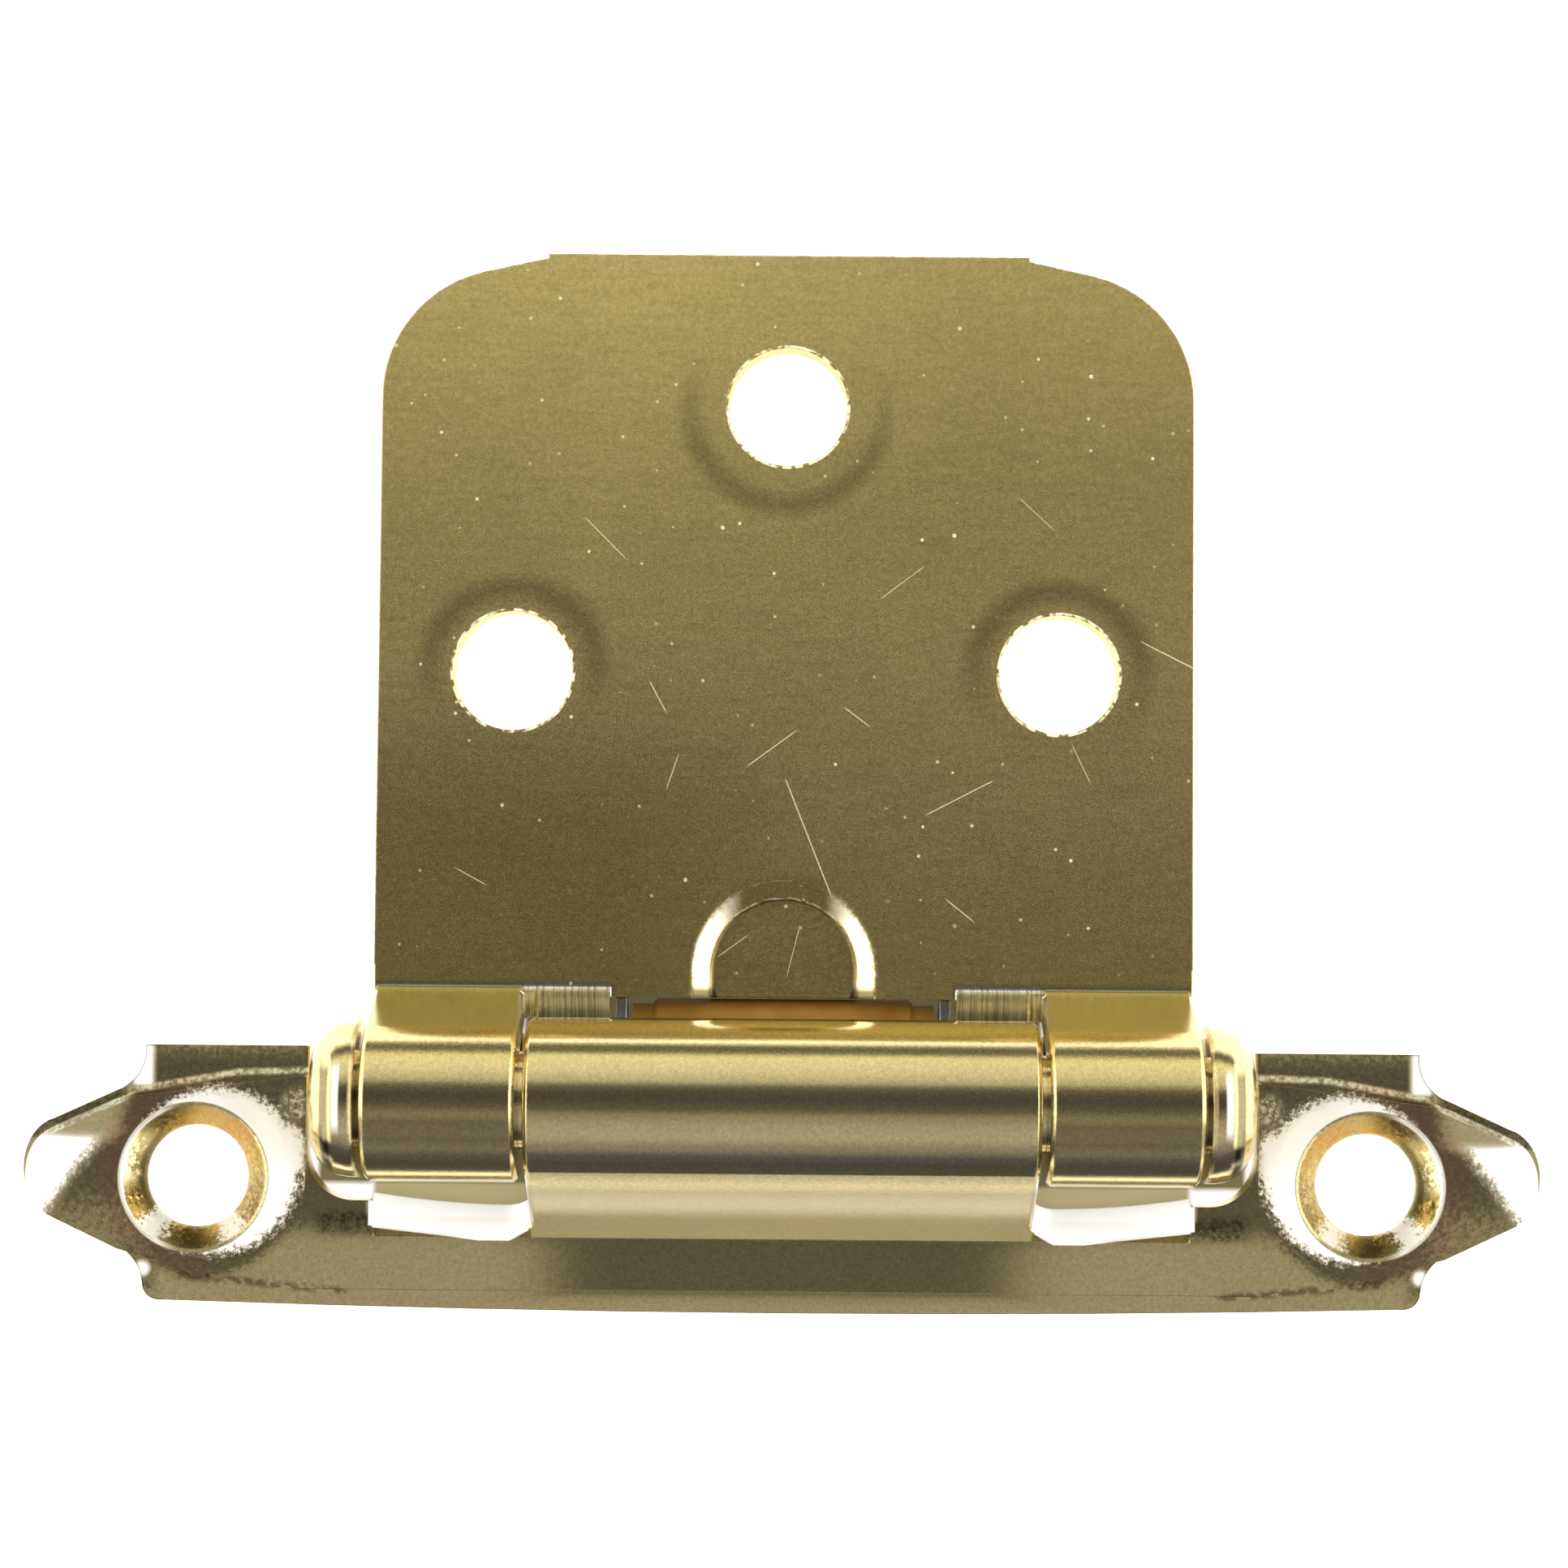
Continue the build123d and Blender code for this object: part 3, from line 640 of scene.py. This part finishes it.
    def flange(self):
        """Painted shade along the crease at the lower edge, and a painted shadow beside the shoulder."""
        crease = self.both(self.scratch(CREASE, 0.3, True), self.band(self.noise(2400, 2.0), 0.4, 0.55))
        # Painted shade in the crease.
        self.coat(crease, CREASE_SHADE, 0.7)
        shoulder_shadow = self.both(self.within(self.out, 19.0, 21.2, 0.6), self.ease(self.rag, -0.4, 0.3),
                          self.within(self.y, -2.5, -1.8, 0.4))
        # Painted shadow beside the shoulder.
        self.coat(shoulder_shadow, SHADE, 0.8)

    def cuts(self):
        """The sheared faces under the outer knuckles, painted white as a highlight, and painted shade on the
        drawn neck of the centre one.
        """
        foot = self.band(self.out, 14.0, SHOULDER_END, 2.9, 2.25)
        start = self.math("SQRT", self.band(self.out, KNUCKLE_END, 12.6))
        sag = self.math("MINIMUM", foot, self.plus(1.9, start))
        self.sheared = self.both(self.within(self.out, KNUCKLE_END, SHOULDER_END, 0.05),
                                 self.ease(self.plus(self.y, sag), -0.05, 0.05), self.ease(self.y, 0.5, 0.4))
        # Painted highlight on the sheared faces.
        self.coat(self.sheared, SHEARED_HIGHLIGHT)
        self.neck = self.both(self.band(self.out, KNUCKLE_END, KNUCKLE_END + 0.1, 1.0, 0.0),
                              self.within(self.y, NECK_FOOT_Y, -0.3, 0.4),
                              self.math("LESS_THAN", self.facing("Y"), -0.5))
        # Painted shade on the neck, darker towards the knuckle.
        self.coat(self.neck, self.mix(self.band(self.y, -0.5, -2.7), NECK_SHADE, NECK_LIT), 0.6)

    def gloss(self):
        """Plain colour on the painted white and gold highlights, and a satin countersink and sheared faces.
        """
        amounts = [(self.sheared, 0.9), (self.neck, 0.6), (self.bright, 0.85), (self.ridge, 0.5),
                   (self.fringe, 0.8), (self.glint, 0.7), (self.pale_highlight, 0.45)]
        self.matt(self.either(*[self.share(mask, amount) for mask, amount in amounts]))
        sink = self.both(self.finial, self.ease(self.r, 3.3, 3.45, 0.19, 0.0))
        self.roughness = self.either(self.roughness, sink, self.share(self.sheared, 0.6),
                                     self.share(self.bright, 0.5))


def door_material():
    shade = DoorLeaf()
    shade.forms()
    shade.tone()
    shade.wear()
    shade.roll()
    shade.tabs()
    return shade.finish()


def frame_material():
    shade = FrameLeaf()
    shade.forms()
    shade.spear()
    shade.countersink()
    shade.flange()
    shade.cuts()
    shade.gloss()
    return shade.finish()


def pin_material():
    """Polished heads, with a painted reflection of the dark gap beside the knuckle as a band round each, and
    a painted white highlight.
    """
    shade = Metal("brass_pin", BRASS, 0.12, 0.05)
    shade.edge = 0.4 * MM
    # Painted reflection: a dark band round each head.
    band = shade.both(shade.within(shade.out, *PIN_DARK_REFLECTION, 0.15), shade.ease(shade.y, 6.0, 5.0))
    shade.coat(band, SHADE, 0.85)
    # Painted highlight: a white line on each head.
    highlight_streak = shade.both(shade.within(shade.out, *PIN_HIGHLIGHT, 0.1), shade.within(shade.y, 2.8, 5.0, 0.6))
    shade.coat(highlight_streak, HIGHLIGHT_WHITE)
    shade.matt(shade.share(highlight_streak, 0.8))
    return shade.finish()


def nylon_material():
    shade = Shader("amber_nylon")
    cloud = shade.noise(900, 3.0, 0.6)
    shade.link(shade.mix(shade.band(cloud, 0.3, 0.7), NYLON, NYLON_PALE), shade.surface.inputs["Base Color"])
    shade.link(shade.band(cloud, 0.3, 0.7, 0.45, 0.6), shade.surface.inputs["Roughness"])
    shade.surface.inputs["Specular IOR Level"].default_value = 0.2
    bump = shade.add("ShaderNodeBump")
    bump.inputs["Strength"].default_value = 0.15
    bump.inputs["Distance"].default_value = 0.01 * MM
    shade.link(shade.noise(4000), bump.inputs["Height"])
    shade.link(bump.outputs["Normal"], shade.surface.inputs["Normal"])
    return shade.material


def studio_world():
    """Long soft boxes that run along the pin, a darker strip about the camera and a panel at each end."""
    world = bpy.data.worlds.new("studio")
    bpy.context.scene.world = world
    world.use_nodes = True
    tree = world.node_tree
    split = tree.nodes.new("ShaderNodeSeparateXYZ")
    tree.links.new(tree.nodes.new("ShaderNodeTexCoord").outputs["Generated"], split.inputs[0])
    turn = tree.nodes.new("ShaderNodeMath")
    turn.operation = "ARCTAN2"
    tree.links.new(split.outputs["Y"], turn.inputs[0])
    tree.links.new(split.outputs["Z"], turn.inputs[1])
    spread = tree.nodes.new("ShaderNodeMapRange")
    spread.inputs["From Min"].default_value = radians(-180)
    spread.inputs["From Max"].default_value = radians(180)
    tree.links.new(turn.outputs[0], spread.inputs["Value"])
    ramp = tree.nodes.new("ShaderNodeValToRGB")
    ramp.color_ramp.interpolation = "EASE"
    marks = ramp.color_ramp.elements
    marks[1].position = (STUDIO_BANDS[1][0] + 180) / 360
    for index, (angle, level, blue) in enumerate(STUDIO_BANDS):
        place = (angle + 180) / 360
        mark = marks[index] if index < 2 else marks.new(place)
        mark.color = (level, level, level * blue, 1)
    tree.links.new(spread.outputs["Result"], ramp.inputs["Fac"])
    aside = tree.nodes.new("ShaderNodeMath")
    aside.operation = "ABSOLUTE"
    tree.links.new(split.outputs["X"], aside.inputs[0])
    side = tree.nodes.new("ShaderNodeMapRange")
    side.interpolation_type = "SMOOTHSTEP"
    side.inputs["From Min"].default_value = SIDE_FROM
    side.inputs["From Max"].default_value = SIDE_TO
    tree.links.new(aside.outputs[0], side.inputs["Value"])
    mix = tree.nodes.new("ShaderNodeMix")
    mix.data_type = "RGBA"
    tree.links.new(side.outputs["Result"], mix.inputs["Factor"])
    tree.links.new(ramp.outputs["Color"], mix.inputs[6])
    mix.inputs[7].default_value = (SIDE_GLOW, SIDE_GLOW, SIDE_GLOW, 1)
    tree.links.new(mix.outputs[2], tree.nodes["Background"].inputs["Color"])


def lamp():
    data = bpy.data.lights.new("fill", "AREA")
    data.energy = FILL_LIGHT
    data.shape = "DISK"
    data.size = FILL_SIZE
    light = bpy.data.objects.new("fill", data)
    light.location = (0, 0.1, FILL_HEIGHT)
    light.visible_glossy = False
    bpy.context.scene.collection.objects.link(light)


def camera():
    data = bpy.data.cameras.new("camera")
    data.sensor_fit = "HORIZONTAL"
    data.angle = 2 * atan(VIEW_WIDTH / 2 / VIEW_DISTANCE)
    data.clip_start = 0.01
    eye = bpy.data.objects.new("camera", data)
    tilt = radians(VIEW_TILT)
    aim = Vector((VIEW_CENTRE_X, VIEW_CENTRE_Y, cad_box[0][2]))
    eye.location = aim + VIEW_DISTANCE * Vector((0, -sin(tilt), cos(tilt)))
    turn = Matrix.Rotation(tilt, 4, "X") @ Matrix.Rotation(radians(VIEW_ROLL), 4, "Z")
    eye.rotation_euler = turn.to_euler()
    bpy.context.scene.collection.objects.link(eye)
    bpy.context.scene.camera = eye


def paper_floor():
    low = cad_box[0][2]
    mesh = bpy.data.meshes.new("floor")
    h = FLOOR_HALF
    mesh.from_pydata([(-h, -h, low), (h, -h, low), (h, h, low), (-h, h, low)], [], [(0, 1, 2, 3)])
    floor = bpy.data.objects.new("floor", mesh)
    mesh.materials.append(floor_material())
    bpy.context.scene.collection.objects.link(floor)


def paint(node, material):
    if not nodes[node].material_slots:
        nodes[node].data.materials.append(material)
    for slot in nodes[node].material_slots:
        slot.material = material


paint("door_leaf", door_material())
paint("frame_leaf", frame_material())
paint("hinge_pin", pin_material())
paint("nylon_roller", nylon_material())
paint("roller_axle", Metal("plain_steel", STEEL, 0.3, 0.15).finish())
paint("closing_spring", Metal("spring_steel", SPRING, 0.34, 0.2).finish())

paper_floor()
studio_world()
lamp()
camera()
bpy.context.scene.view_settings.view_transform = "Standard"
